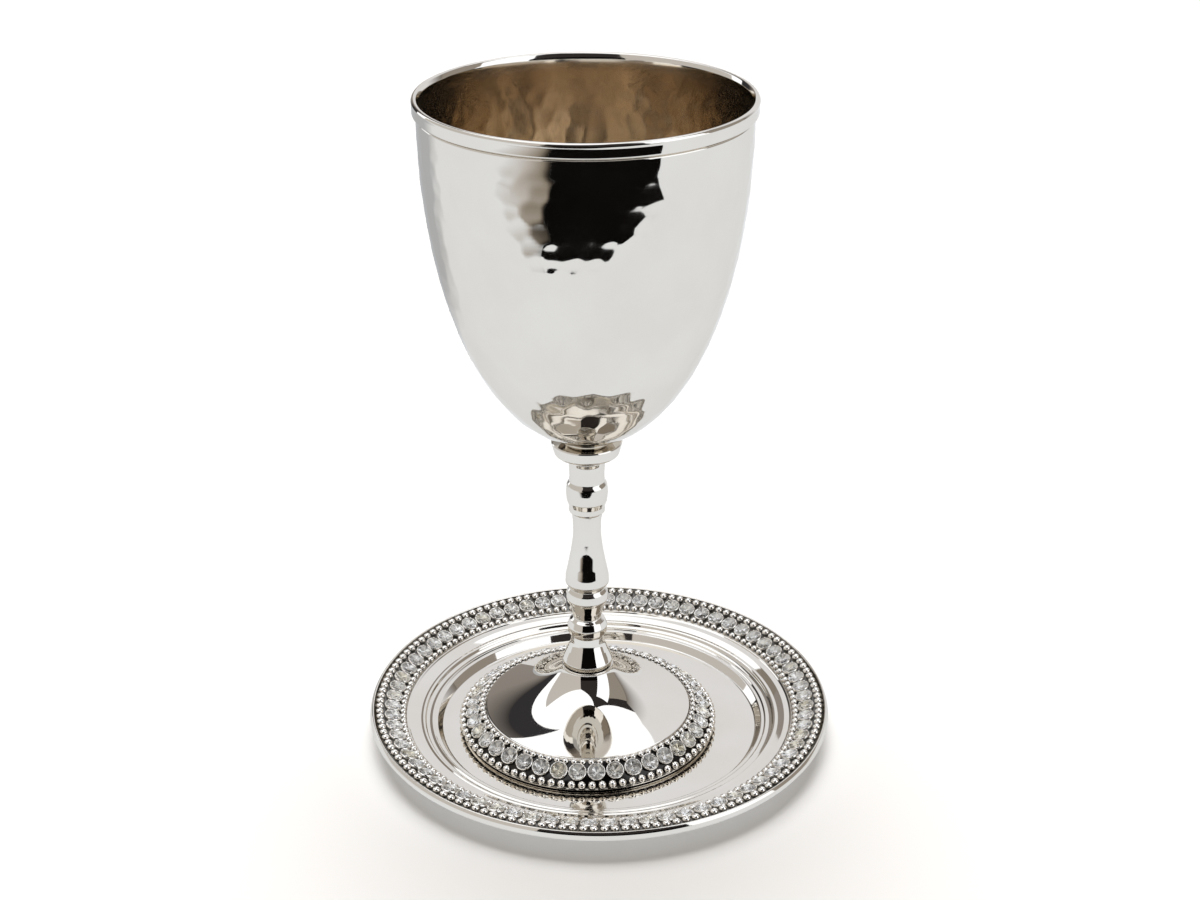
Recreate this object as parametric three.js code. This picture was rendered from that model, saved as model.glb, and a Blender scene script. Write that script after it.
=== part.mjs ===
// Kiddush cup on its matching saucer: a stemmed goblet of nickel-plated brass, 165 mm tall, whose
// foot and saucer are each bordered by a band of clear stones between two rows of beads.
// Millimetres, +Z up. The origin is the middle of the saucer's flat underside.
import * as THREE from "three";
import { mergeVertices } from "three/addons/utils/BufferGeometryUtils.js";

// Driving dimensions. Heights are above the surface that the saucer stands on.
const JOINT_GAP = 0.3; // solder or glue line between two pieces
const CUP_HEIGHT = 165; // foot to rim, without the saucer
const CUP_X = -3; // the foot is smaller than the saucer's well, and stands a little off centre
const FOOT_BOTTOM = 1.5; // just clear of the saucer's well
const RIM_TOP = FOOT_BOTTOM + CUP_HEIGHT;
const RIM_RADIUS = 39.1;
const RIM_BAND = 3.5; // height of the plain band round the mouth
const BOWL_WALL = 1;
const BOWL_UNDERSIDE = 81.6;
const BOWL_RADIUS = 38.15; // outside, just under the rim band
const COLLAR_RADIUS = 8.65;
const COLLAR_EDGE = 79.3; // height of the collar's rounded edge
const STEM_TOP = 76.6;
const FOOT_TOP = 18.8;
const FOOT_NECK_RADIUS = 6.5;
const FOOT_SHEET = 1;
const WELL_RADIUS = 40;
const WELL_THICKNESS = 1.2;
const SAUCER_RADIUS = 58.75;
const PLATE_SHEET = 1.1;

// The two jewelled bands are strips on a slope, with two beads to each stone. Each is given by the
// upper face of its strip, from its inner to its outer edge, as [radius, height].
const BAND_THICKNESS = 0.7;
const FOOT_BAND = {
  inner: [26.5, 6.6],
  outer: [32.6, 2.5],
  innerRow: 1.2, // width of the inner bead row
  outerRow: 1.9,
  innerBead: 0.75, // height of a bead
  outerBead: 1,
  stones: 40,
  stoneRadius: 1.95,
  stoneHeight: 1.2,
};
const SAUCER_BAND = {
  inner: [49.7, 5.3],
  outer: [57.2, 7.7],
  innerRow: 1.5,
  outerRow: 2.1,
  innerBead: 0.75,
  outerBead: 1.1,
  stones: 72,
  stoneHeight: 1.2,
};

const NICKEL = { color: 0xd6d1ca, roughness: 0.12, metalness: 1 };
const BRIGHT_NICKEL = { color: 0xdcd8d2, roughness: 0.08, metalness: 1 };
const BEADED_NICKEL = { color: 0xc9c4bd, roughness: 0.2, metalness: 1 };
const CRYSTAL = { color: 0xe8ebee, roughness: 0.04, metalness: 0 };

const cup = new THREE.Group();
const saucer = new THREE.Group();
cup.position.set(CUP_X, 0, 0);

function addPiece(group, name, geometry, finish) {
  const mesh = new THREE.Mesh(geometry, new THREE.MeshStandardMaterial(finish));
  mesh.name = name;
  group.add(mesh);
}

// A spun or turned piece: its profile, in [radius, height], is turned round the upright axis.
function turned(profile, sides) {
  const points = profile.map(([radius, height]) => new THREE.Vector2(radius, height));
  return new THREE.LatheGeometry(points, sides).rotateX(Math.PI / 2);
}

// Points along a smooth curve between two ends, leaving and arriving along its two handles.
function curve(start, startHandle, endHandle, end, steps) {
  const controls = [start, startHandle, endHandle, end];
  const bend = new THREE.CubicBezierCurve(...controls.map(([r, z]) => new THREE.Vector2(r, z)));
  return bend.getSpacedPoints(steps).map((point) => [point.x, point.y]);
}

// A point on a band's slope: how far out from its inner edge, and how far above its face.
function onBand(band, along, above) {
  const [innerRadius, innerHeight] = band.inner;
  const [outerRadius, outerHeight] = band.outer;
  const run = outerRadius - innerRadius;
  const rise = outerHeight - innerHeight;
  const width = Math.hypot(run, rise);
  return [
    innerRadius + (run * along - rise * above) / width,
    innerHeight + (rise * along + run * above) / width,
  ];
}

function bandWidth(band) {
  return Math.hypot(band.outer[0] - band.inner[0], band.outer[1] - band.inner[1]);
}

// A beaded strip: a closed ring with a four-sided point for each bead of its two rows. Where the
// stones are fused to it, each is a low six-sided point between the rows.
function beadedStrip(band, stonesFused) {
  const width = bandWidth(band);
  const rows = {
    innerRim: [onBand(band, 0, -BAND_THICKNESS), onBand(band, 0, 0)],
    innerBeads: [onBand(band, 0, 0), onBand(band, band.innerRow, 0)],
    middle: [onBand(band, band.innerRow, 0), onBand(band, width - band.outerRow, 0)],
    outerBeads: [onBand(band, width - band.outerRow, 0), onBand(band, width, -BAND_THICKNESS)],
    back: [onBand(band, width, -BAND_THICKNESS), onBand(band, 0, -BAND_THICKNESS)],
  };
  const innerTip = onBand(band, band.innerRow / 2, band.innerBead);
  const outerTip = onBand(band, width - band.outerRow / 2, band.outerBead);
  const stoneTip = onBand(band, (band.innerRow + width - band.outerRow) / 2, band.stoneHeight);
  const beads = 2 * band.stones;
  const corners = [];
  const place = ([radius, height], turn) => {
    const angle = (2 * Math.PI * (turn % beads)) / beads;
    return [radius * Math.cos(angle), radius * Math.sin(angle), height];
  };
  // A stretch of a row as one outline, with a corner at each bead where it is longer than one.
  const outline = ([near, far], from, to) => {
    const corner = [];
    for (let turn = from; turn <= to; turn += 1) corner.push(place(far, turn));
    for (let turn = to; turn >= from; turn -= 1) corner.push(place(near, turn));
    return corner;
  };
  const flat = ([a, b, c, d]) => corners.push(a, b, c, a, c, d);
  const pointed = (edge, tip) => {
    edge.forEach((corner, index) => corners.push(corner, edge[(index + 1) % edge.length], tip));
  };
  for (let bead = 0; bead < beads; bead += 1) {
    flat(outline(rows.innerRim, bead, bead + 1));
    flat(outline(rows.back, bead, bead + 1));
    pointed(outline(rows.innerBeads, bead, bead + 1), place(innerTip, bead + 0.5));
    pointed(outline(rows.outerBeads, bead, bead + 1), place(outerTip, bead + 0.5));
    if (!stonesFused) flat(outline(rows.middle, bead, bead + 1));
  }
  for (let bead = 0; stonesFused && bead < beads; bead += 2) {
    pointed(outline(rows.middle, bead, bead + 2), place(stoneTip, bead + 1));
  }
  const geometry = new THREE.BufferGeometry();
  geometry.setAttribute("position", new THREE.Float32BufferAttribute(corners.flat(), 3));
  return mergeVertices(geometry, 1e-4);
}

// A round-cut stone: a six-sided crown that narrows to its flat table, with its back on the band.
function stone(band, index) {
  const crown = new THREE.CylinderGeometry(
    band.stoneRadius * 0.55,
    band.stoneRadius,
    band.stoneHeight,
    6,
  );
  crown.rotateX(Math.PI / 2).translate(0, 0, JOINT_GAP + band.stoneHeight / 2);
  const along = (band.innerRow + bandWidth(band) - band.outerRow) / 2;
  const [radius, height] = onBand(band, along, 0);
  const slope = Math.atan2(band.outer[1] - band.inner[1], band.outer[0] - band.inner[0]);
  const angle = (2 * Math.PI * (index + 0.5)) / band.stones;
  return crown.rotateY(-slope).translate(radius, 0, height).rotateZ(angle);
}

// Bowl: spun from sheet, with a plain band round the mouth and a rounded lip.
const bowlOutside = curve(
  [0, BOWL_UNDERSIDE],
  [21.8, BOWL_UNDERSIDE],
  [38.4, 114.7],
  [BOWL_RADIUS, RIM_TOP - RIM_BAND],
  11,
);
const rimBand = [
  [RIM_RADIUS - 0.15, RIM_TOP - RIM_BAND + 0.1],
  [RIM_RADIUS, RIM_TOP - RIM_BAND + 0.6],
  [RIM_RADIUS, RIM_TOP - 0.8],
  [RIM_RADIUS - 0.3, RIM_TOP - 0.15],
  [RIM_RADIUS - 0.7, RIM_TOP],
  [RIM_RADIUS - 1.2, RIM_TOP - 0.3],
];
const bowlInside = curve(
  [BOWL_RADIUS - BOWL_WALL, RIM_TOP - RIM_BAND],
  [37.4, 115.4],
  [21.2, BOWL_UNDERSIDE + BOWL_WALL],
  [0, BOWL_UNDERSIDE + BOWL_WALL],
  9,
);
addPiece(cup, "bowl", turned([...bowlOutside, ...rimBand, ...bowlInside], 36), NICKEL);

// Collar: the small dish that spreads the stem under the bowl.
addPiece(
  cup,
  "collar",
  turned(
    [
      [0, STEM_TOP + JOINT_GAP],
      [4.7, STEM_TOP + JOINT_GAP],
      [6, STEM_TOP + 0.8],
      [COLLAR_RADIUS - 0.4, COLLAR_EDGE - 0.8],
      [COLLAR_RADIUS, COLLAR_EDGE],
      [COLLAR_RADIUS - 0.4, COLLAR_EDGE + 0.8],
      [6.3, COLLAR_EDGE + 1.7],
      [5, BOWL_UNDERSIDE - JOINT_GAP],
      [0, BOWL_UNDERSIDE - JOINT_GAP],
    ],
    18,
  ),
  BRIGHT_NICKEL,
);

// Stem: one turned baluster. Its members are listed from the foot upwards.
const capLedge = [
  [0, FOOT_TOP + JOINT_GAP],
  [6.2, FOOT_TOP + JOINT_GAP],
  [6.45, 20.2],
  [6, 21.4],
];
const capCone = [
  [5.2, 23],
  [4.4, 24.9],
  [3.95, 27.2],
];
const lowerRing = [
  [4.7, 28.5],
  [4.95, 30],
  [4.5, 31.6],
];
const reel = [
  [3.55, 32.4],
  [3.9, 34.4],
  [4.8, 36.9],
];
const upperRing = [
  [5.2, 38],
  [5.1, 40],
  [4.5, 40.9],
];
const baluster = [
  [4.7, 41.7],
  [5.45, 42.6],
  [5.35, 44.4],
  [4.8, 47.2],
  [4.05, 51.2],
  [3.5, 55.5],
  [3.55, 59.5],
  [3.8, 61.9],
];
const knopRing = [
  [4.4, 62.4],
  [4.4, 63.8],
];
const knop = [
  [4.95, 65.4],
  [5.15, 67.4],
  [4.95, 69.8],
];
const upperNeck = [
  [4.35, 70.5],
  [4.35, 74.8],
  [4.8, STEM_TOP],
  [0, STEM_TOP],
];
const stemProfile = [
  ...capLedge,
  ...capCone,
  ...lowerRing,
  ...reel,
  ...upperRing,
  ...baluster,
  ...knopRing,
  ...knop,
  ...upperNeck,
];
addPiece(cup, "stem", turned(stemProfile, 14), BRIGHT_NICKEL);

// Foot: a spun trumpet, hollow underneath, with a flange that carries the jewelled band.
const flangeInner = onBand(FOOT_BAND, 0, -BAND_THICKNESS - JOINT_GAP);
const flangeOuter = onBand(FOOT_BAND, bandWidth(FOOT_BAND), -BAND_THICKNESS - JOINT_GAP);
const footProfile = [
  [0, FOOT_TOP],
  [FOOT_NECK_RADIUS - 0.3, FOOT_TOP],
  ...curve([FOOT_NECK_RADIUS, FOOT_TOP - 0.4], [7.6, 13.4], [16.5, 9.9], [26.1, 6.8], 6),
  flangeInner,
  flangeOuter,
  [flangeOuter[0], FOOT_BOTTOM],
  [flangeOuter[0] - FOOT_SHEET, FOOT_BOTTOM],
  [flangeInner[0] - 0.4, flangeInner[1] - FOOT_SHEET],
  ...curve([24.6, 6.1], [16, 8.8], [6.8, 12.6], [5.5, FOOT_TOP - FOOT_SHEET - 0.2], 4),
  [0, FOOT_TOP - FOOT_SHEET],
];
addPiece(cup, "foot", turned(footProfile.reverse(), 30), BRIGHT_NICKEL);

// Foot band: the beaded strip, and each stone in a setting of its own between the bead rows.
addPiece(cup, "foot_band", beadedStrip(FOOT_BAND, false), BEADED_NICKEL);
for (let index = 0; index < FOOT_BAND.stones; index += 1) {
  const name = `foot_stone_${String(index + 1).padStart(2, "0")}`;
  addPiece(cup, name, stone(FOOT_BAND, index), CRYSTAL);
}

// Saucer: pressed from sheet. A flat well, two moulded steps, a shoulder, a sloping seat for the
// band and a rolled rim.
const seatInner = onBand(SAUCER_BAND, -JOINT_GAP, -BAND_THICKNESS - JOINT_GAP);
const seatWidth = bandWidth(SAUCER_BAND) + JOINT_GAP;
const seatOuter = onBand(SAUCER_BAND, seatWidth, -BAND_THICKNESS - JOINT_GAP);
const saucerProfile = [
  [0, 0],
  [WELL_RADIUS, 0],
  [WELL_RADIUS + 2.9, 1.9],
  [45.6, 2.1],
  [47.2, 3.1],
  [seatInner[0] - 0.4, seatInner[1] - PLATE_SHEET],
  [seatOuter[0], seatOuter[1] - PLATE_SHEET],
  [SAUCER_RADIUS - 0.6, seatOuter[1] - PLATE_SHEET],
  [SAUCER_RADIUS, seatOuter[1] - 0.3],
  [SAUCER_RADIUS - 0.1, seatOuter[1] + 0.8],
  [SAUCER_RADIUS - 0.7, seatOuter[1] + 1.4],
  [seatOuter[0] + 0.1, seatOuter[1] + 1.3],
  seatOuter,
  seatInner,
  [seatInner[0] - 0.1, SAUCER_BAND.inner[1]],
  [48.2, 4.6],
  [46.2, 4.1],
  [44.8, 3.1],
  [WELL_RADIUS + 3, 2.9],
  [WELL_RADIUS + 2.1, 2.2],
  [WELL_RADIUS + 0.8, WELL_THICKNESS + 0.1],
  [WELL_RADIUS, WELL_THICKNESS],
  [0, WELL_THICKNESS],
];
addPiece(saucer, "saucer", turned(saucerProfile, 38), NICKEL);

// Saucer band: the beaded strip with its ring of stones fused to it.
addPiece(saucer, "saucer_band", beadedStrip(SAUCER_BAND, true), BEADED_NICKEL);

const kiddushCup = new THREE.Group();
kiddushCup.add(saucer, cup);
export default kiddushCup;
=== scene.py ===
import math
import bpy
import bmesh
import numpy as np
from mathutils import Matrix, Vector


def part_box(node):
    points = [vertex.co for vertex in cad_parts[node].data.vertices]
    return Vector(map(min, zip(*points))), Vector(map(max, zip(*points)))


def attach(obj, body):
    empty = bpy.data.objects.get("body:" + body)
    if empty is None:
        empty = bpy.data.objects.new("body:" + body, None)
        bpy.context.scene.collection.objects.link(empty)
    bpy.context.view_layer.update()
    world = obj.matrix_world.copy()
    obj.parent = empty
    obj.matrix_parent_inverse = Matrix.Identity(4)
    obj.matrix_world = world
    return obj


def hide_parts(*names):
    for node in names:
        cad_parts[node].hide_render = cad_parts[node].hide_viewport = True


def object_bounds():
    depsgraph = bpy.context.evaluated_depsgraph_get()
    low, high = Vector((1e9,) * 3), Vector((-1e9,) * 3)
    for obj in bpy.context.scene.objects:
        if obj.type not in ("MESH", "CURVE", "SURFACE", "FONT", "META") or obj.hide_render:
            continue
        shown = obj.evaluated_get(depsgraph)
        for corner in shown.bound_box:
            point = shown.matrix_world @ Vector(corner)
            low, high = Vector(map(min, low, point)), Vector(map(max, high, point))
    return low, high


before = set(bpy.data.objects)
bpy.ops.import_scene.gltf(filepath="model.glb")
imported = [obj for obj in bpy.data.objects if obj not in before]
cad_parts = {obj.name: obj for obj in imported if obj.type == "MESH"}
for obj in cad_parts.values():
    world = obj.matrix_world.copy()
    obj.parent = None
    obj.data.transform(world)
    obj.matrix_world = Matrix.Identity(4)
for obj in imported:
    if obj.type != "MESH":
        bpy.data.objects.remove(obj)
cad_low, cad_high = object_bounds()

# ---------------------------------------------------------------------------------------------
# Studio. The cup stands on a white sheet in a white tent. The tent is open towards the camera,
# so polished metal shows a dark room there, with a warm wall to its left.
# ---------------------------------------------------------------------------------------------
MM = 0.001  # the studio is in metres, and each piece's outline is in millimetres

cup_axis = (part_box("bowl")[0].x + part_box("bowl")[1].x) / 2
whole_height = cad_high.z - cad_low.z
camera_pitch = math.radians(25.29)
camera_distance = 2.893 * whole_height
aim_beside_axis = 3.2 * MM
aim_height = cad_low.z + 0.4715 * whole_height
aim = Vector((cup_axis + aim_beside_axis, 0, aim_height))

camera_data = bpy.data.cameras.new("camera")
camera_data.lens = 59.6
camera_data.sensor_width = 36
camera = bpy.data.objects.new("camera", camera_data)
away = Vector((0, -math.cos(camera_pitch), math.sin(camera_pitch)))
camera.location = aim + away * camera_distance
camera.rotation_euler = (math.pi / 2 - camera_pitch, 0, 0)
bpy.context.scene.collection.objects.link(camera)
bpy.context.scene.camera = camera

bpy.context.scene.view_settings.view_transform = "Standard"


def stage_mesh(name, points, faces, material):
    """A sheet or panel of the studio."""
    mesh = bpy.data.meshes.new(name)
    mesh.from_pydata(points, [], faces)
    mesh.materials.append(material)
    sheet = bpy.data.objects.new(name, mesh)
    bpy.context.scene.collection.objects.link(sheet)
    return sheet


def matt_paper():
    """Plain white paper, for the floor."""
    material = bpy.data.materials.new("white_paper")
    material.use_nodes = True
    shader = material.node_tree.nodes["Principled BSDF"].inputs
    shader["Base Color"].default_value = (0.93, 0.93, 0.93, 1)
    shader["Roughness"].default_value = 0.9
    shader["Specular IOR Level"].default_value = 0
    return material


floor_half = 12
square = ((-1, -1), (1, -1), (1, 1), (-1, 1))
floor_corners = [(x * floor_half, y * floor_half, cad_low.z) for x, y in square]
stage_mesh("floor", floor_corners, [range(4)], matt_paper())


def stored(tree, name, output="Fac"):
    """What a mesh stores under a name, for its material."""
    reader = tree.nodes.new("ShaderNodeAttribute")
    reader.attribute_name = name
    return reader.outputs[output]


def glowing_card():
    """What the metal mirrors: it gives off the colour stored in the attribute glow."""
    material = bpy.data.materials.new("glowing_card")
    material.use_nodes = True
    tree = material.node_tree
    shader = tree.nodes["Principled BSDF"].inputs
    shader["Base Color"].default_value = (0, 0, 0, 1)
    shader["Specular IOR Level"].default_value = 0
    shader["Emission Strength"].default_value = 1
    tree.links.new(stored(tree, "glow", "Color"), shader["Emission Color"])
    return material


card_glow = glowing_card()
NICKEL = (0.74, 0.70, 0.635)  # what polished nickel plate gives back of red, green and blue


def mirrored_card(name, grid, seen):
    """A card that only shows as a reflection in the metal and the stones. Its points and their
    colours are rows of a grid, and the colours are as they look in the nickel."""
    rows, columns = grid.shape[:2]
    faces = [
        (i * columns + j, i * columns + j + 1, (i + 1) * columns + j + 1, (i + 1) * columns + j)
        for i in range(rows - 1)
        for j in range(columns - 1)
    ]
    card = stage_mesh(name, grid.reshape(-1, 3).tolist(), faces, card_glow)
    glow = card.data.attributes.new("glow", "FLOAT_COLOR", "POINT")
    colours = np.ones((rows, columns, 4))
    colours[:, :, :3] = np.asarray(seen) / NICKEL
    glow.data.foreach_set("color", colours.astype(np.float32).ravel())
    card.visible_camera = False
    card.visible_diffuse = False
    card.visible_shadow = False


def tent_panel(name, azimuths, elevations, colour, last_colour=None, last_top=None, reach=1.5):
    """A part of the tent's inside, in degrees as seen from the cup. Azimuth 0 is towards the
    camera and 90 to its right. Its colour and its top may change from first to last azimuth."""
    eye_height = 0.06  # the panels are placed as seen from this height
    bottom, first_top = elevations
    if last_top is None:
        last_top = first_top
    if last_colour is None:
        last_colour = colour
    share = np.linspace(0, 1, 13)
    across, up = np.meshgrid(share, share)
    top = first_top + across * (last_top - first_top)
    turn = np.radians(azimuths[0] + across * (azimuths[1] - azimuths[0]))
    rise = np.radians(bottom + up * (top - bottom))
    place = (np.sin(turn) * np.cos(rise), -np.cos(turn) * np.cos(rise), np.sin(rise))
    grid = reach * np.stack(place, 2) + (0, 0, eye_height)
    change = np.subtract(last_colour, colour)
    mirrored_card(name, grid, colour + across[:, :, None] * change)


# The studio's colours as they look in the metal, from dark to light.
BLACK = (0.003, 0.0025, 0.002)
DARK = (0.027, 0.023, 0.021)
SOOT = (0.03, 0.028, 0.029)
UMBER = (0.04, 0.035, 0.032)
BROWN = (0.16, 0.135, 0.11)
EARTH = (0.25, 0.22, 0.19)
BROWN_GREY = (0.27, 0.232, 0.19)
CLAY = (0.27, 0.24, 0.21)
GREY = (0.43, 0.43, 0.425)
WARM_GREY = (0.50, 0.465, 0.42)
WARM_CREAM = (0.52, 0.475, 0.42)
PALE = (0.71, 0.69, 0.67)
SHEET = (0.72, 0.715, 0.695)
WHITE = (1.1, 1.09, 1.07)
card_lift = 0.3 * MM  # each card on the floor lies this much above the last

# The white sheet under the cup.
sheet_half = 2.5
sheet_line = np.linspace(-sheet_half, sheet_half, 3)
sheet_x, sheet_y = np.meshgrid(sheet_line, sheet_line)
sheet_grid = np.stack([sheet_x, sheet_y, np.full((3, 3), card_lift)], 2)
mirrored_card("white_sheet", sheet_grid, np.broadcast_to(SHEET, (3, 3, 3)))

# It ends about 0.25 m in front of the cup, and beyond it lies the dark floor of the room, from a
# near edge to a far one.
dark_edge = [(-0.125, -0.226), (-0.04, -0.243), (0.05, -0.252), (0.17, -0.276), (0.31, -0.277)]
dark_depth = [(-0.48, -1.5), (-0.2, -1.5), (0.3, -1.5), (0.9, -1.5), (1.27, -1.03)]
dark_floor = np.array([dark_edge, dark_depth])
dark_floor = np.concatenate([dark_floor, np.full((2, 5, 1), 2 * card_lift)], 2)
mirrored_card("dark_floor", dark_floor, np.broadcast_to(BLACK, (2, 5, 3)))

# To the left of that floor the sheet lies in a brown shade, which fades out over 0.3 m.
shade_width = 0.3
shade_share = np.linspace(0, 1, 25)
shade_stops = [0, 0.06, 0.18, 0.45, 0.75, 1]
shade_tones = [
    (0.004, 0.004, 0.003),
    (0.05, 0.04, 0.03),
    (0.25, 0.21, 0.16),
    (0.45, 0.41, 0.36),
    (0.60, 0.58, 0.55),
    SHEET,
]
shade = np.stack([np.interp(shade_share, shade_stops, tone) for tone in zip(*shade_tones)], 1)
shade_rows = np.concatenate([np.linspace(-0.20, -0.27, 8), np.linspace(-0.4, -1.5, 8)])
(near_x, near_y), (far_x, far_y) = dark_edge[0], dark_depth[0]
shade_edge = np.interp(shade_rows, (far_y, near_y), (far_x, near_x))
shade_x = shade_edge[:, None] - shade_width * shade_share[None]
shade_y = np.broadcast_to(shade_rows[:, None], shade_x.shape)
shade_grid = np.stack([shade_x, shade_y, np.full(shade_x.shape, 3 * card_lift)], 2)
shade_start = -0.205
shade_weight = np.clip((shade_start - shade_rows) / 0.05, 0, 1)[:, None, None]
shade = SHEET + shade_weight * (shade[None] - SHEET)
mirrored_card("brown_shade", shade_grid, shade)

# Behind the cup, on the left, lies a soft grey shade.
grey_steps = 17
grey_turn = np.radians(np.linspace(-182, -116, grey_steps))[None]
grey_reach = np.array([0.19, 0.21, 0.24, 0.28, 0.5, 1.5])[:, None]
grey_depth = np.array([0, 0.15, 0.7, 1, 1, 1])[:, None]
grey_ends = np.clip(np.sin(np.linspace(0, math.pi, grey_steps)) * 1.8, 0, 1)[None]
grey_weight = grey_depth * grey_ends
grey_x = grey_reach * np.sin(grey_turn)
grey_y = -grey_reach * np.cos(grey_turn)
grey_grid = np.stack([grey_x, grey_y, np.full(grey_x.shape, 4 * card_lift)], 2)
grey_shade = SHEET + grey_weight[:, :, None] * np.subtract(GREY, SHEET)
mirrored_card("grey_shade", grey_grid, grey_shade)

# The tent, from the front round to the right, the back and the left.
tent_panel("tent_roof", (0, 360), (40, 90), WHITE, reach=1.8)
tent_panel("room_low", (-28, 41), (-4, 22), BLACK)
tent_panel("room_high", (-28, 41), (22, 50), DARK, last_top=77)
tent_panel("right_front_panel", (41, 85), (-4, 63), WHITE, reach=1.45)
tent_panel("right_wall", (85, 122), (-4, 57), BROWN_GREY, last_top=44, reach=1.45)
tent_panel("right_gap", (41, 133), (40, 84), DARK, last_top=48)
tent_panel("right_fade", (122, 141), (-4, 46), BROWN, PALE, last_top=51, reach=1.45)
tent_panel("back_right_wall", (141, 190), (-4, 51), PALE, last_top=49)
tent_panel("back_left_wall", (190, 200), (-14, 30), CLAY, EARTH, last_top=35)
tent_panel("back_left_fade", (200, 211), (-14, 35), EARTH, UMBER, last_top=52)
tent_panel("back_left_gap", (211, 223), (-14, 52), SOOT, last_top=68)
tent_panel("left_slit", (223, 236), (-4, 45), WHITE)
tent_panel("left_wall", (236, 332), (-4, 48), WARM_GREY, WARM_CREAM, last_top=50)


def mixed(tree, kind, share, first, second):
    """Goes from a first to a second colour or number by a share. Each is a value or a socket."""
    mix = tree.nodes.new("ShaderNodeMix")
    mix.data_type = kind
    for label, given in (("Factor", share), ("A", first), ("B", second)):
        if isinstance(given, bpy.types.NodeSocket):
            tree.links.new(given, mix.inputs[label])
        else:
            mix.inputs[label].default_value = given
    return mix.outputs["Result"]


# The sheet runs up behind the cup and is seen white, though it lights the cup less than that.
world = bpy.data.worlds.new("tent")
bpy.context.scene.world = world
world.use_nodes = True
backdrop = world.node_tree.nodes["Background"]
backdrop.inputs["Strength"].default_value = 1
seen_direct = world.node_tree.nodes.new("ShaderNodeLightPath").outputs["Is Camera Ray"]
soft_light = (0.3, 0.27, 0.235, 1)
sweep_white = (1.05, 1.05, 1.05, 1)
sweep = mixed(world.node_tree, "RGBA", seen_direct, soft_light, sweep_white)
world.node_tree.links.new(sweep, backdrop.inputs["Color"])

# A broad lamp above and behind throws the soft shadow forwards and lights the foil through the
# stones. It does not show in the metal.
lamp_data = bpy.data.lights.new("key", "SUN")
lamp_data.energy = 2.95
lamp_data.angle = math.radians(46)
lamp = bpy.data.objects.new("key", lamp_data)
towards_lamp = Vector((-0.03, 0.3, 0.95))
lamp.rotation_euler = towards_lamp.to_track_quat("Z", "Y").to_euler()
lamp.visible_glossy = False
bpy.context.scene.collection.objects.link(lamp)

# ---------------------------------------------------------------------------------------------
# Saucer. Pressed from brass sheet about 1 mm thick and nickel-plated: a flat well, two moulded
# steps, a rounded shoulder, the sloping seat of its jewelled band, and a rolled rim.
# ---------------------------------------------------------------------------------------------


def softened(corners, steps=5, guard=0.2):
    """An outline through corners of (radius, height, fillet), each rounded off by its fillet.
    A guard point stands just past each rounding, so that the flat stretches stay flat."""
    outline = []
    last = len(corners) - 1
    for index, (radius, height, fillet) in enumerate(corners):
        here = np.array((radius, height))
        if fillet == 0 or index in (0, last):
            outline.append(here)
            continue
        back = np.array(corners[index - 1][:2]) - here
        ahead = np.array(corners[index + 1][:2]) - here
        room = 0.48 * min(np.linalg.norm(back), np.linalg.norm(ahead))
        back /= np.linalg.norm(back)
        ahead /= np.linalg.norm(ahead)
        half = math.acos(np.clip(back @ ahead, -1, 1)) / 2
        reach = min(fillet / math.tan(half), room)
        if room > reach + guard:
            outline.append(here + back * (reach + guard))
        for share in np.linspace(0, 1, steps + 1):
            weights = ((1 - share) ** 2, 2 * share * (1 - share) * math.sin(half), share**2)
            arc = weights[0] * (here + back * reach) + weights[1] * here
            outline.append((arc + weights[2] * (here + ahead * reach)) / sum(weights))
        if room > reach + guard:
            outline.append(here + ahead * (reach + guard))
    return outline


def mesh_piece(name, points, faces, smooth=True):
    """A piece of the object from points in millimetres, with its faces turned outwards."""
    mesh = bpy.data.meshes.new(name)
    mesh.from_pydata((np.asarray(points) * MM).tolist(), [], faces)
    shape = bmesh.new()
    shape.from_mesh(mesh)
    bmesh.ops.recalc_face_normals(shape, faces=shape.faces)
    shape.to_mesh(mesh)
    shape.free()
    mesh.polygons.foreach_set("use_smooth", [smooth] * len(mesh.polygons))
    piece = bpy.data.objects.new(name, mesh)
    bpy.context.scene.collection.objects.link(piece)
    return piece


def revolved(outline, sides, centre=0.0, closed=False):
    """Points and faces of an outline of [radius, height] turned round an upright axis."""
    angles = np.arange(sides) * 2 * math.pi / sides
    points, rings, faces = [], [], []
    for radius, height in outline:
        start = len(points)
        on_axis = radius < 1e-6
        if on_axis:
            points.append((centre, 0, height))
            rings.append([start] * sides)
        else:
            across = centre + radius * np.cos(angles)
            points.extend(zip(across, radius * np.sin(angles), [height] * sides))
            rings.append(list(range(start, start + sides)))
    following = rings[1:] + rings[:1] if closed else rings[1:]
    for lower, upper in zip(rings, following):
        for side in range(sides):
            after = (side + 1) % sides
            square = [lower[side], lower[after], upper[after], upper[side]]
            face = list(dict.fromkeys(square))
            if len(face) > 2:
                faces.append(face)
    return points, faces


def node_radius(node):
    """Radius of a round CAD node, in millimetres."""
    low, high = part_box(node)
    return (high.y - low.y) / 2 / MM


def node_heights(node):
    """Lowest and highest point of a CAD node, in millimetres."""
    low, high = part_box(node)
    return low.z / MM, high.z / MM


saucer_radius = node_radius("saucer")
saucer_bottom, saucer_top = node_heights("saucer")
well_radius = saucer_radius - 18.75
well_top = saucer_bottom + 1.2
# The seat of the band slopes up from its inner to its outer edge.
saucer_band_inner = (saucer_radius - 9.05, saucer_bottom + 5.3)
saucer_band_outer = (saucer_radius - 1.55, saucer_bottom + 7.7)

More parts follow.
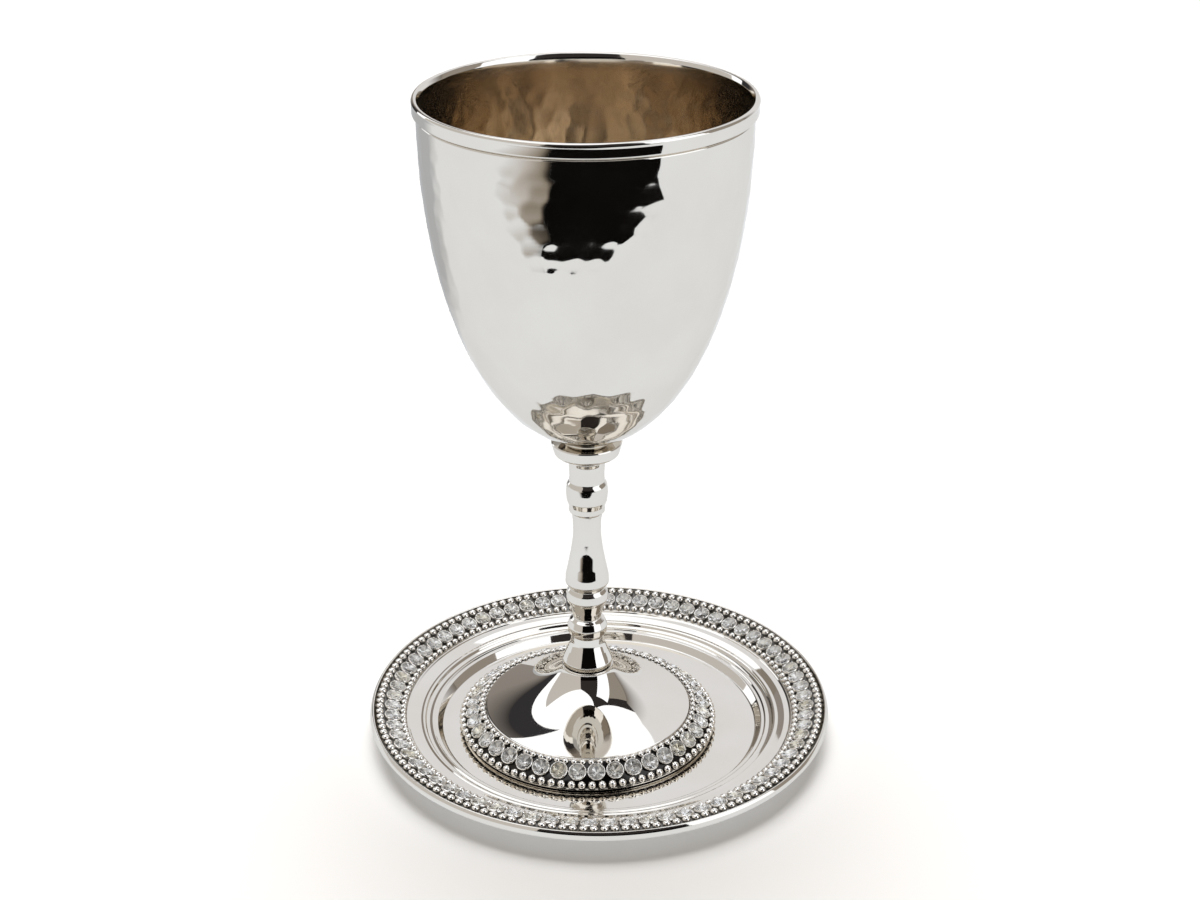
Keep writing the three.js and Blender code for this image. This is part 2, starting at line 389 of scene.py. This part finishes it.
saucer_corners = [
    # underneath, from the middle out
    (0, saucer_bottom, 0),
    (well_radius - 0.5, saucer_bottom, 1.2),
    (well_radius + 2.9, saucer_bottom + 1.9, 1.2),
    (well_radius + 5.4, saucer_bottom + 2.1, 1),
    (well_radius + 7.2, saucer_bottom + 3.1, 1),
    (saucer_band_inner[0] - 0.4, saucer_band_inner[1] - 2.1, 1),
    (saucer_band_outer[0] + 0.6, saucer_band_outer[1] - 1.95, 0.5),
    # the rim
    (saucer_radius - 0.6, saucer_top - 2.45, 0.5),
    (saucer_radius, saucer_top - 1.6, 0.3),
    (saucer_radius - 0.2, saucer_top - 0.75, 0.5),
    (saucer_radius - 0.65, saucer_top, 0.4),
    (saucer_radius - 1.05, saucer_top - 0.15, 0.2),
    (saucer_radius - 1.1, saucer_top - 1.4, 0.1),
    # the seat of the band and the bead at its foot
    (saucer_band_inner[0] + 0.05, saucer_band_inner[1] - 1.05, 0.1),
    (saucer_band_inner[0] - 0.1, saucer_band_inner[1] + 0.1, 0.2),
    (saucer_band_inner[0] - 0.5, saucer_band_inner[1] - 0.05, 0.2),
    (saucer_band_inner[0] - 0.8, saucer_band_inner[1] - 0.3, 0.2),
    # the shoulder and the two moulded steps
    (well_radius + 7.6, saucer_bottom + 4.75, 1.5),
    (well_radius + 5.9, saucer_bottom + 4.2, 0.6),
    (well_radius + 5.3, saucer_bottom + 4.3, 0.3),
    (well_radius + 4.8, saucer_bottom + 4.15, 0.3),
    (well_radius + 4.5, saucer_bottom + 3.55, 0.3),
    (well_radius + 3.7, saucer_bottom + 3.25, 0.5),
    (well_radius + 2.9, saucer_bottom + 3.4, 0.3),
    (well_radius + 2.5, saucer_bottom + 3.1, 0.2),
    (well_radius + 1.7, saucer_bottom + 3.15, 0.5),
    # the well
    (well_radius + 0.3, well_top + 0.05, 0.6),
    (well_radius - 0.4, well_top, 0.3),
    (0, well_top, 0),
]
saucer = mesh_piece("saucer_dish", *revolved(softened(saucer_corners), 360))


def plating_group():
    """Node group: how buffed nickel plate varies over a piece. Its colour and roughness change
    in soft hazy patches, and its height is the fine ripple that buffing leaves."""
    group = bpy.data.node_groups.new("buffed_plate", "ShaderNodeTree")
    for label, kind in (
        ("Bright", "NodeSocketColor"),
        ("Dull", "NodeSocketColor"),
        ("Smooth", "NodeSocketFloat"),
        ("Hazy", "NodeSocketFloat"),
        ("Haze Scale", "NodeSocketFloat"),
        ("Buffing Scale", "NodeSocketFloat"),
    ):
        group.interface.new_socket(label, in_out="INPUT", socket_type=kind)
    for label, kind in (
        ("Color", "NodeSocketColor"),
        ("Roughness", "NodeSocketFloat"),
        ("Height", "NodeSocketFloat"),
    ):
        group.interface.new_socket(label, in_out="OUTPUT", socket_type=kind)
    nodes, link = group.nodes, group.links.new
    given = nodes.new("NodeGroupInput").outputs
    result = nodes.new("NodeGroupOutput").inputs
    place = nodes.new("ShaderNodeTexCoord").outputs["Object"]
    haze = nodes.new("ShaderNodeTexNoise")
    haze.inputs["Detail"].default_value = 3
    patches = nodes.new("ShaderNodeMapRange")
    patches.inputs["From Min"].default_value = 0.38
    patches.inputs["From Max"].default_value = 0.68
    buffing = nodes.new("ShaderNodeTexNoise")
    buffing.inputs["Detail"].default_value = 2
    link(place, haze.inputs["Vector"])
    link(given["Haze Scale"], haze.inputs["Scale"])
    link(haze.outputs["Fac"], patches.inputs["Value"])
    link(place, buffing.inputs["Vector"])
    link(given["Buffing Scale"], buffing.inputs["Scale"])
    patch = patches.outputs["Result"]
    link(mixed(group, "RGBA", patch, given["Bright"], given["Dull"]), result["Color"])
    link(mixed(group, "FLOAT", patch, given["Smooth"], given["Hazy"]), result["Roughness"])
    link(buffing.outputs["Fac"], result["Height"])
    return group


buffed_plate = plating_group()


def nickel_plate(name, bright, dull, smooth, hazy, buffing_depth):
    """Polished nickel on brass, nearly a mirror. It goes from bright and smooth to dull and hazy
    in soft patches, and its buffing ripple is that many metres deep."""
    material = bpy.data.materials.new(name)
    material.use_nodes = True
    tree = material.node_tree
    shader = tree.nodes["Principled BSDF"].inputs
    shader["Metallic"].default_value = 1
    shader["Specular Tint"].default_value = (0.86, 0.84, 0.81, 1)
    plate = tree.nodes.new("ShaderNodeGroup")
    plate.node_tree = buffed_plate
    plate.inputs["Bright"].default_value = (*bright, 1)
    plate.inputs["Dull"].default_value = (*dull, 1)
    plate.inputs["Smooth"].default_value = smooth
    plate.inputs["Hazy"].default_value = hazy
    plate.inputs["Haze Scale"].default_value = 55
    plate.inputs["Buffing Scale"].default_value = 260
    ripple = tree.nodes.new("ShaderNodeBump")
    ripple.inputs["Strength"].default_value = 1
    ripple.inputs["Distance"].default_value = buffing_depth
    tree.links.new(plate.outputs["Color"], shader["Base Color"])
    tree.links.new(plate.outputs["Roughness"], shader["Roughness"])
    tree.links.new(plate.outputs["Height"], ripple.inputs["Height"])
    tree.links.new(ripple.outputs["Normal"], shader["Normal"])
    return material


def fitted(piece, material, slot, *nodes):
    """The piece gets its finish, rides on the one body and stands for its CAD nodes."""
    piece.data.materials.append(material)
    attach(piece, "root")
    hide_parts(*nodes)


HAZED_NICKEL = (0.71, 0.665, 0.595)  # the same plate where it is a little hazy
saucer_plate = nickel_plate(
    "saucer_nickel", NICKEL, HAZED_NICKEL, smooth=0.03, hazy=0.06, buffing_depth=3e-6
)
fitted(saucer, saucer_plate, "saucer_nickel", "saucer")

# ---------------------------------------------------------------------------------------------
# Saucer band. A cast brass strip, nickel-plated and soldered to the seat: a row of small beads
# inside, a row of larger ones outside, and between them a claw setting for each stone. Its
# hollows are darkened with a painted shade.
# ---------------------------------------------------------------------------------------------


def band_place(band, along, above):
    """Radius and height of a point on a band's slope, from its inner edge and above its face."""
    inner, outer = np.array(band["inner"]), np.array(band["outer"])
    run, rise = (outer - inner) / math.dist(inner, outer)
    return inner[0] + run * along - rise * above, inner[1] + rise * along + run * above


def on_the_band(band, points, angle, along, above):
    """Sets a small form on a band's face. Its points are [along, across, above] the slope."""
    radius, height = band_place(band, along + points[:, 0], above + points[:, 2])
    x = radius * math.cos(angle) - points[:, 1] * math.sin(angle)
    y = radius * math.sin(angle) + points[:, 1] * math.cos(angle)
    return np.stack([band["centre"] + x, y, height], 1)


def shifted(faces, start):
    """The faces of a form whose points begin at a number in a larger mesh."""
    return [[point + start for point in face] for face in faces]


def bead(radius, squash=0.9, sides=12, rows=8):
    """A round bead, a little flattened, centred on its middle."""
    turns = np.linspace(-math.pi / 2, math.pi / 2, rows + 1)
    outline = [(radius * math.cos(turn), radius * squash * math.sin(turn)) for turn in turns]
    return revolved(outline, sides)


SETTING_SIDES = 16
SETTING_LIP = 0.1  # the setting's edge stands this much above the stone's girdle
SUNK = 0.3  # and its foot goes this deep into the strip


def setting(radius, rise, depth):
    """The little cup that holds a stone, with a cone of bright foil inside it."""
    wall = 0.22
    clearance = 0.06
    top = rise + SETTING_LIP
    outline = [
        (0, rise - depth - clearance),
        (radius + clearance / 2, rise - clearance),
        (radius + clearance / 2, top),
        (radius + wall, top),
        (radius + wall, -SUNK),
        (0, -SUNK),
    ]
    return revolved(outline, SETTING_SIDES)


def claw(reach):
    """A small rounded claw that is pressed over a stone's edge."""
    width = 0.8 * reach
    points, faces = bead(1, squash=1, sides=6, rows=4)
    return np.asarray(points) * (width, width, reach), faces


def store(piece, name, values, domain="POINT"):
    """Stores a value for each point or face of a piece, for its material to read."""
    layer = piece.data.attributes.new(name, "FLOAT", domain)
    layer.data.foreach_set("value", np.asarray(values, np.float32))


def jewelled_strip(name, band):
    """The metal of a band: strip, beads, settings and claws. The attribute recess is a painted
    shade, 1 in the hollows between them, and the attribute foil is 1 on the foil under the
    stones."""
    thickness = 0.7
    bevel = 0.3
    shade_reach = 0.3  # the painted shade ends this much above the strip's face
    width = math.dist(band["inner"], band["outer"])
    # Each corner of the strip's section: its place along the slope and above it, and the height
    # it counts as for the painted shade, so that the strip's two edges stay bright.
    section = [
        (0, -thickness, 1),
        (0, 0, 1),
        (0.4, 0, 0),
        (width - 3 * bevel, 0, 0),
        (width - bevel, -bevel, 0),
        (width, -thickness, 1),
    ]
    strip_sides = 4 * band["stones"]
    strip = [band_place(band, along, above) for along, above, _ in section]
    strip_points, all_faces = revolved(strip, strip_sides, band["centre"], closed=True)
    all_points = [np.asarray(strip_points)]
    all_heights = [np.repeat([height for _, _, height in section], strip_sides)]
    all_foil = [np.zeros(len(strip_points))]
    total = len(strip_points)

    # Each form with its number for each stone, its place along the slope and above it, and how
    # many of its points, from the first, lie on the foil. Four claws stand round each stone.
    stone_line, rise = band["stone_line"], band["stone_rise"]
    cup = setting(band["stone_radius"], rise, band["stone_depth"])
    forms = [
        (bead(band["inner_bead"]), 2, band["inner_line"], 0.25, 0),
        (bead(band["outer_bead"]), 2, band["outer_line"], 0.3, 0),
        (cup, 1, stone_line, 0, 1 + SETTING_SIDES),
    ]
    claw_points, claw_faces = claw(reach=0.38)
    corner = 0.98 * band["stone_radius"] / math.sqrt(2)
    for along in (-corner, corner):
        for across in (-corner, corner):
            placed = claw_points + np.array((along, across, rise + SETTING_LIP))
            forms.append(((placed, claw_faces), 1, stone_line, 0, 0))
    for (points, faces), per_stone, along, above, on_foil in forms:
        points = np.asarray(points, float)
        count = per_stone * band["stones"]
        for copy in range(count):
            angle = 2 * math.pi * (copy + 0.5) / count
            all_points.append(on_the_band(band, points, angle, along, above))
            all_faces.extend(shifted(faces, total))
            total += len(points)
        all_heights.append(np.tile(points[:, 2] + above, count))
        all_foil.append(np.tile(np.arange(len(points)) < on_foil, count))
    piece = mesh_piece(name, np.concatenate(all_points), all_faces)

    # The foil is creased into flat facets, and each facet gets a painted glint, from dull to
    # bright, given at random.
    foil = np.concatenate(all_foil)
    creased = np.array([foil[face].all() for face in all_faces])
    piece.data.polygons.foreach_set("use_smooth", ~creased)
    chance = np.random.default_rng(band["stones"])
    store(piece, "glint", chance.beta(1.3, 0.4, len(all_faces)), domain="FACE")
    # A painted shade: darkest on the strip's face between beads and settings, fading out above
    # it, kept off the edges and the foil.
    hollow = np.clip(1 - np.concatenate(all_heights) / shade_reach, 0, 1) * (1 - foil)
    store(piece, "hollow_shade", hollow * band["hollow_shade_strength"])
    store(piece, "foil", foil)
    return piece


# A line is how far along the slope, from its inner edge, a row stands. A stone's rise is its
# girdle's height above the strip, and its crown and depth are measured from its girdle.
saucer_band = {
    "centre": 0.0,
    "inner": saucer_band_inner,
    "outer": saucer_band_outer,
    "stones": 72,
    # how dark the painted shade in the hollows is
    "hollow_shade_strength": 0.85,
    "stone_line": 3.65,
    "stone_radius": 1.95,
    "stone_rise": 0.8,
    "stone_crown": 0.55,
    "stone_depth": 0.7,
    "inner_line": 0.85,
    "inner_bead": 0.92,
    "outer_line": math.dist(saucer_band_inner, saucer_band_outer) - 0.9,
    "outer_bead": 1.0,
}
saucer_strip = jewelled_strip("saucer_beaded_strip", saucer_band)


def beaded_plate(name):
    """Nickel on the beads, darkened by a painted shade in the hollows between them. The foil
    under the stones is smooth and milky, with a painted glint on each facet, some bright and
    some dull."""
    bright, dull = (0.92, 0.88, 0.815), (0.88, 0.84, 0.775)
    material = nickel_plate(name, bright, dull, smooth=0.1, hazy=0.16, buffing_depth=2e-6)
    tree = material.node_tree
    shader = tree.nodes["Principled BSDF"].inputs
    plate = next(node for node in tree.nodes if node.type == "GROUP").outputs
    # the colour of the painted shade in the hollows
    hollow_shade_colour = (0.035, 0.033, 0.03, 1)
    # the painted glints on the foil run from this dark facet colour to a bright one
    unlit_foil = (0.2, 0.19, 0.17, 1)
    glinting_foil = (1.0, 0.975, 0.925, 1)
    foil = stored(tree, "foil")
    metal = mixed(tree, "RGBA", stored(tree, "hollow_shade"), plate["Color"], hollow_shade_colour)
    facet = mixed(tree, "RGBA", stored(tree, "glint"), unlit_foil, glinting_foil)
    tree.links.new(mixed(tree, "RGBA", foil, metal, facet), shader["Base Color"])
    tree.links.new(mixed(tree, "FLOAT", foil, plate["Roughness"], 0.08), shader["Roughness"])
    tree.links.new(mixed(tree, "FLOAT", foil, 1, 0.5), shader["Metallic"])
    return material


beaded_nickel = beaded_plate("beaded_nickel")
fitted(saucer_strip, beaded_nickel, "beaded_nickel", "saucer_band")

# ---------------------------------------------------------------------------------------------
# Saucer stones. Clear round brilliants of glass, each pressed into its setting over foil. Their
# facets are turned a little from one to the next, as loose stones fall.
# ---------------------------------------------------------------------------------------------
FACETS = 8


def brilliant(radius, crown, depth):
    """A round brilliant: table, stars, kites and halves above the girdle, mains and halves
    below. Its girdle is at height 0 and its point at -depth."""
    table, star, lower = 0.56, 0.78, 0.25  # shares of the radius
    fall = math.cos(math.pi / FACETS)
    star_height = crown * (1 - star * fall) / (1 - table)
    lower_height = -depth * (1 - lower * fall)
    edge = 0.06 * radius

    def ring(share, height, count, offset):
        reach = radius * share
        turns = (np.arange(count) + offset) * 2 * math.pi / count
        return [(reach * math.cos(turn), reach * math.sin(turn), height) for turn in turns]

    points = ring(table, crown, FACETS, 0) + ring(star, star_height, FACETS, 0.5)
    points += ring(1, 0, 2 * FACETS, 0) + ring(1, -edge, 2 * FACETS, 0)
    points += ring(lower, lower_height, FACETS, 0.5) + [(0, 0, -depth)]
    tables, stars, upper, under = 0, FACETS, 2 * FACETS, 4 * FACETS
    lowers, point = 6 * FACETS, 7 * FACETS
    faces = [list(range(FACETS))]
    for i in range(FACETS):
        after, before = (i + 1) % FACETS, (i - 1) % FACETS
        main, half, next_main = 2 * i, 2 * i + 1, (2 * i + 2) % (2 * FACETS)
        faces.append([tables + i, tables + after, stars + i])
        faces.append([tables + i, stars + before, upper + main, stars + i])
        faces.append([stars + i, upper + main, upper + half])
        faces.append([stars + i, upper + half, upper + next_main])
        faces.append([upper + main, upper + half, under + half, under + main])
        faces.append([upper + half, upper + next_main, under + next_main, under + half])
        faces.append([lowers + i, under + main, under + half])
        faces.append([lowers + i, under + half, under + next_main])
        faces.append([point, lowers + before, under + main, lowers + i])
    return np.asarray(points), faces


def set_stones(name, band, seed):
    """All the stones of a band in one mesh, each with a turn, a lean and a tint of its own."""
    chance = np.random.default_rng(seed)
    brilliant_points, brilliant_faces = brilliant(
        band["stone_radius"], band["stone_crown"], band["stone_depth"]
    )
    points, faces, tints = [], [], []
    for index in range(band["stones"]):
        turn = chance.uniform(0, math.pi)
        lean = chance.normal(0, 0.035, 2)
        spun = brilliant_points.copy()
        spun[:, 0] = brilliant_points[:, :2] @ (math.cos(turn), -math.sin(turn))
        spun[:, 1] = brilliant_points[:, :2] @ (math.sin(turn), math.cos(turn))
        spun[:, 2] += spun[:, :2] @ lean
        angle = 2 * math.pi * (index + 0.5) / band["stones"]
        points.append(on_the_band(band, spun, angle, band["stone_line"], band["stone_rise"]))
        faces.extend(shifted(brilliant_faces, index * len(spun)))
        tints.extend([chance.uniform(0, 1) ** 5] * len(spun))
    piece = mesh_piece(name, np.concatenate(points), faces, smooth=False)
    store(piece, "tint", tints)
    return piece


def stone_glass(name):
    """Clear lead glass. A few stones are faintly straw-coloured."""
    material = bpy.data.materials.new(name)
    material.use_nodes = True
    tree = material.node_tree
    shader = tree.nodes["Principled BSDF"].inputs
    shader["Metallic"].default_value = 0
    shader["Roughness"].default_value = 0.01
    shader["IOR"].default_value = 1.56
    shader["Transmission Weight"].default_value = 1
    clear = (1.0, 0.995, 0.98, 1)
    straw = (0.93, 0.88, 0.74, 1)
    colour = mixed(tree, "RGBA", stored(tree, "tint"), clear, straw)
    tree.links.new(colour, shader["Base Color"])
    return material


saucer_stones = set_stones("saucer_stones", saucer_band, seed=11)
crystal = stone_glass("crystal")
fitted(saucer_stones, crystal, "crystal", "saucer_band")

# ---------------------------------------------------------------------------------------------
# Foot. A trumpet spun from brass sheet, hollow underneath, mirror-polished and plated. Its
# flange slopes down to the ring that stands in the saucer's well.
# ---------------------------------------------------------------------------------------------


def curve(start, leaving, arriving, end, steps):
    """Evenly spaced points along a cubic curve with two handles."""
    share = np.linspace(0, 1, 40 * steps + 1)[:, None]
    points = (
        (1 - share) ** 3 * np.array(start)
        + 3 * share * (1 - share) ** 2 * np.array(leaving)
        + 3 * share**2 * (1 - share) * np.array(arriving)
        + share**3 * np.array(end)
    )
    hops = np.linalg.norm(np.diff(points, axis=0), axis=1)
    travelled = np.concatenate([[0], np.cumsum(hops)])
    wanted = np.linspace(0, travelled[-1], steps + 1)
    radii = np.interp(wanted, travelled, points[:, 0])
    heights = np.interp(wanted, travelled, points[:, 1])
    return list(zip(radii, heights))


cup_centre = cup_axis / MM
foot_bottom, foot_top = node_heights("foot")
foot_outer_radius = node_radius("foot")
neck_radius = 6.5
foot_sheet = 1.0
foot_band_inner = (26.5, foot_bottom + 5.1)
foot_band_outer = (32.6, foot_bottom + 1.0)

foot_ledge = [
    (0, foot_top, 0),
    (neck_radius, foot_top, 0.35),
    (neck_radius, foot_top - 0.5, 0),
]
foot_cone = curve(
    (neck_radius, foot_top - 0.4),
    (neck_radius + 1.1, foot_top - 4.4),
    (15.0, foot_bottom + 8.1),
    (26.1, foot_bottom + 5.3),
    70,
)
foot_flange = [
    (26.1, foot_bottom + 5.3, 0),
    (26.2, foot_bottom + 5.2, 0.1),
    (26.2, foot_bottom + 4.1, 0.1),
    (foot_outer_radius, foot_bottom + 0.15, 0.1),
    (foot_outer_radius, foot_bottom, 0.05),
    (foot_outer_radius - foot_sheet, foot_bottom, 0.1),
    (25, foot_bottom + 3.1, 1),
    (24.6, foot_bottom + 4.3, 0),
]
foot_hollow = curve(
    (24.6, foot_bottom + 4.6),
    (16, foot_bottom + 7.3),
    (neck_radius + 0.3, foot_top - 6.2),
    (neck_radius - 1, foot_top - 1.2),
    40,
)
foot_outline = [*softened(foot_ledge)[:-1], *foot_cone, *softened(foot_flange)[1:], *foot_hollow]
foot_outline.append((0, foot_top - foot_sheet))
foot = mesh_piece("foot_trumpet", *revolved(foot_outline, 256, cup_centre))
foot_haze = (0.72, 0.675, 0.605)
foot_plate = nickel_plate(
    "foot_nickel", NICKEL, foot_haze, smooth=0.02, hazy=0.045, buffing_depth=2e-6
)
fitted(foot, foot_plate, "bright_nickel", "foot")

# ---------------------------------------------------------------------------------------------
# Foot band. The same cast strip as on the saucer, bent to the foot's slope: beads, settings and
# claws of nickel-plated brass, soldered on.
# ---------------------------------------------------------------------------------------------
foot_band = {
    "centre": cup_centre,
    "inner": foot_band_inner,
    "outer": foot_band_outer,
    "stones": 40,
    # how dark the painted shade in the hollows is
    "hollow_shade_strength": 1.0,
    "stone_line": 3.3,
    "stone_radius": 2.0,
    "stone_rise": 0.85,
    "stone_crown": 0.6,
    "stone_depth": 0.75,
    "inner_line": 0.6,
    "inner_bead": 0.82,
    "outer_line": math.dist(foot_band_inner, foot_band_outer) - 0.8,
    "outer_bead": 1.02,
}
foot_strip = jewelled_strip("foot_beaded_strip", foot_band)
fitted(foot_strip, beaded_nickel, "beaded_nickel", "foot_band")

# ---------------------------------------------------------------------------------------------
# Foot stones. Forty clear glass brilliants like the saucer's, a little larger, each pressed into
# its setting over foil and held by four claws.
# ---------------------------------------------------------------------------------------------
foot_stones = set_stones("foot_stones", foot_band, seed=5)
stone_nodes = sorted(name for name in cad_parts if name.startswith("foot_stone_"))
fitted(foot_stones, crystal, "crystal", *stone_nodes)

# ---------------------------------------------------------------------------------------------
# Stem. One baluster turned from brass bar and plated: a ledge and cone on the foot, two rings
# with a reel between them, the baluster, a knop over its ring, and the neck.
# ---------------------------------------------------------------------------------------------
stem_bottom, stem_top = node_heights("stem")
stem_length = stem_top - stem_bottom
# Each corner's radius, height above the foot and fillet.
stem_corners = [
    # the ledge
    (0, 0, 0),
    (6.2, 0, 0.3),
    (6.45, 1.2, 0.8),
    (5.95, 2.3, 0.3),
    # the cone
    (5.2, 3.9, 2),
    (4.3, 6.0, 4),
    (3.95, 8.2, 0.3),
    # two rings with a reel between them
    (4.85, 8.9, 0.8),
    (5.0, 10.9, 1),
    (4.4, 12.6, 0.5),
    (3.5, 13.3, 0.4),
    (3.9, 15.3, 5),
    (4.8, 17.8, 1),
    (5.25, 18.7, 0.8),
    (5.1, 20.9, 1),
    (4.45, 21.8, 0.3),
    # the baluster
    (4.7, 22.6, 0.3),
    (5.5, 23.3, 0.8),
    (5.4, 25.3, 6),
    (4.8, 28.1, 20),
    (4.05, 32.1, 30),
    (3.45, 36.4, 20),
    (3.5, 40.4, 12),
    (3.8, 42.9, 0.5),
    # the knop over its ring
    (4.45, 43.2, 0.4),
    (4.45, 44.7, 0.4),
    (4.95, 46.2, 1.5),
    (5.2, 48.3, 5),
    (4.95, 50.6, 1.5),
    (4.35, 51.4, 0.5),
    # the neck
    (4.3, 53.6, 5),
    (4.45, 56.1, 2),
    (4.9, stem_length, 0.2),
    (0, stem_length, 0),
]
stem_placed = [(radius, stem_bottom + above, fillet) for radius, above, fillet in stem_corners]
stem = mesh_piece("stem_baluster", *revolved(softened(stem_placed, steps=8), 96, cup_centre))
stem_plate = nickel_plate(
    "stem_nickel", NICKEL, HAZED_NICKEL, smooth=0.03, hazy=0.06, buffing_depth=2e-6
)
fitted(stem, stem_plate, "bright_nickel", "stem")

# ---------------------------------------------------------------------------------------------
# Collar. A small turned dish, soldered between the stem's neck and the bowl. The solder makes a
# narrow fillet against the bowl.
# ---------------------------------------------------------------------------------------------
collar_bottom, collar_top = node_heights("collar")
collar_radius = node_radius("collar")
collar_corners = [
    (0, collar_bottom, 0),
    (4.6, collar_bottom, 0.3),
    (6.2, collar_bottom + 0.3, 0.8),
    (collar_radius - 0.7, collar_bottom + 1.2, 0.9),
    (collar_radius, collar_top - 0.3, 0.15),
    (collar_radius - 0.2, collar_top, 0.1),
    (5.9, collar_top, 0.5),
    (5.1, collar_top + 0.9, 0),
    (0, collar_top + 0.5, 0),
]
collar = mesh_piece("bowl_collar", *revolved(softened(collar_corners, steps=8), 128, cup_centre))
fitted(collar, stem_plate, "bright_nickel", "collar")

# ---------------------------------------------------------------------------------------------
# Bowl. Raised from brass sheet 1 mm thick, hammered all over with a round-faced hammer so that
# the marks show inside too, then plated. A plain band with a rounded lip is rolled at the mouth.
# ---------------------------------------------------------------------------------------------
bowl_bottom, rim_top = node_heights("bowl")
rim_radius = node_radius("bowl")
wall = 1.0
rim_band = 3.5
band_foot = rim_top - rim_band
shoulder_radius = rim_radius - 0.95

egg = [
    (0, bowl_bottom),
    (21.8, bowl_bottom),
    (38.4, bowl_bottom + 33.1),
    (shoulder_radius, band_foot),
]
outside = curve(*egg, 125)
mouth_corners = [
    (shoulder_radius, band_foot - 0.3, 0),
    (shoulder_radius, band_foot, 0.1),
    (rim_radius - 0.1, band_foot + 0.1, 0.8),
    (rim_radius - 0.12, band_foot + 2.3, 0.4),
    (rim_radius, rim_top - 0.6, 0.5),
    (rim_radius - 0.3, rim_top, 0.5),
    (rim_radius - 1.1, rim_top, 0.5),
    (rim_radius - 1.6, rim_top - 1.0, 0.8),
    (shoulder_radius - wall, band_foot, 0),
]
mouth = softened(mouth_corners, steps=6)[1:-1]
inside = curve(
    (shoulder_radius - wall, band_foot),
    (37.4, bowl_bottom + 33.8),
    (21.2, bowl_bottom + wall),
    (0, bowl_bottom + wall),
    100,
)
bowl_sides = 320
bowl_outline = [*outside, *mouth, *inside]
bowl_points, bowl_faces = revolved(bowl_outline, bowl_sides, cup_centre)
bowl_points = np.asarray(bowl_points)

# The hammer marks lie in rings up the bowl, a mark's width apart, none quite where it should be.
mark_width = 4.6
mark_depth = 0.06
wall_length = 100
ring_gap = 0.87 * mark_width
chance = np.random.default_rng(21)
marks, mark_sizes = [], []
for ring_index, (radius, height) in enumerate(curve(*egg, int(wall_length / ring_gap))):
    in_ring = max(1, round(2 * math.pi * radius / mark_width))
    for mark in range(in_ring):
        place = mark + 0.5 * (ring_index % 2) + chance.normal(0, 0.16)
        angle = 2 * math.pi * place / in_ring
        up = height + chance.normal(0, 0.14) * mark_width
        marks.append((radius * math.cos(angle), radius * math.sin(angle), up))
        mark_sizes.append(chance.uniform(0.75, 1.3))
marks, mark_sizes = np.asarray(marks), np.asarray(mark_sizes)


def hammered(points):
    """How far the hammer has driven each point in: most at the middle of the nearest mark,
    and nothing on the ridges between marks."""
    driven = np.zeros(len(points))
    crispness = 26.0  # of the ridges, which a soft minimum of the squared distances rounds off
    batch = 4000
    for start in range(0, len(points), batch):
        some = points[start : start + batch]
        gaps = ((some[:, None, :] - marks[None]) ** 2).sum(2) * mark_sizes[None]
        nearest = gaps.min(1)
        crowd = np.exp(-crispness * (gaps - nearest[:, None]) / mark_width**2).sum(1)
        soft = nearest - np.log(crowd) * mark_width**2 / crispness
        driven[start : start + batch] = mark_depth * (1 - 4 * soft / mark_width**2)
    return driven


def eased(value, low, high):
    """Rises smoothly from 0 to 1 as the value goes from low to high."""
    share = np.clip((value - low) / (high - low), 0, 1)
    return share * share * (3 - 2 * share)


# The marks fade out under the mouth's band and round the collar, and are deeper inside.
inside_share = 1.6
relative = bowl_points - (cup_centre, 0, 0)
from_axis = np.hypot(relative[:, 0], relative[:, 1])
mouth_start = (len(outside) - 1) * bowl_sides + 1
inside_start = mouth_start + len(mouth) * bowl_sides
below_band = 1 - eased(relative[:, 2], band_foot - 5.5, band_foot - 2.5)
clear_of_collar = eased(from_axis, 3, 8)
depth = hammered(relative) * below_band * clear_of_collar
depth[mouth_start:inside_start] = 0
depth[inside_start:] *= inside_share

# A mark is driven in along the wall's normal, on the outside and the inside alike.
slopes = np.gradient(np.asarray(bowl_outline), axis=0)
outward = np.stack([slopes[:, 1], -slopes[:, 0]], 1)
outward /= np.linalg.norm(outward, axis=1)[:, None]
outward[len(outside) + len(mouth) :] *= -1
points_in_row = [1, *[bowl_sides] * (len(bowl_outline) - 2), 1]
outward = np.repeat(outward, points_in_row, axis=0)
inward_share = outward[:, 0] * depth / np.maximum(from_axis, 1e-6)
bowl_points[:, 0] -= inward_share * relative[:, 0]
bowl_points[:, 1] -= inward_share * relative[:, 1]
bowl_points[:, 2] -= outward[:, 1] * depth

bowl = mesh_piece("bowl_hammered", bowl_points, bowl_faces)
# The lining, which its material paints browner as a painted reflection.
store(bowl, "lining", np.arange(len(bowl_points)) >= inside_start)


def lined_plate(name):
    """Nickel outside. The lining is duller and painted browner: a painted reflection of the
    brown that light takes on as it bounces round inside the bowl.
    """
    haze = (0.715, 0.67, 0.60)
    material = nickel_plate(name, NICKEL, haze, smooth=0.035, hazy=0.075, buffing_depth=3e-6)
    tree = material.node_tree
    shader = tree.nodes["Principled BSDF"].inputs
    plate = next(node for node in tree.nodes if node.type == "GROUP").outputs
    # painted reflection: the brown the lining shows from light bouncing inside the bowl
    painted_brown_lining = (0.72, 0.625, 0.50, 1)
    lining = stored(tree, "lining")
    tree.links.new(mixed(tree, "RGBA", lining, plate["Color"], painted_brown_lining), shader["Base Color"])
    tree.links.new(mixed(tree, "FLOAT", lining, plate["Roughness"], 0.15), shader["Roughness"])
    return material


fitted(bowl, lined_plate("bowl_nickel"), "hammered_nickel", "bowl")
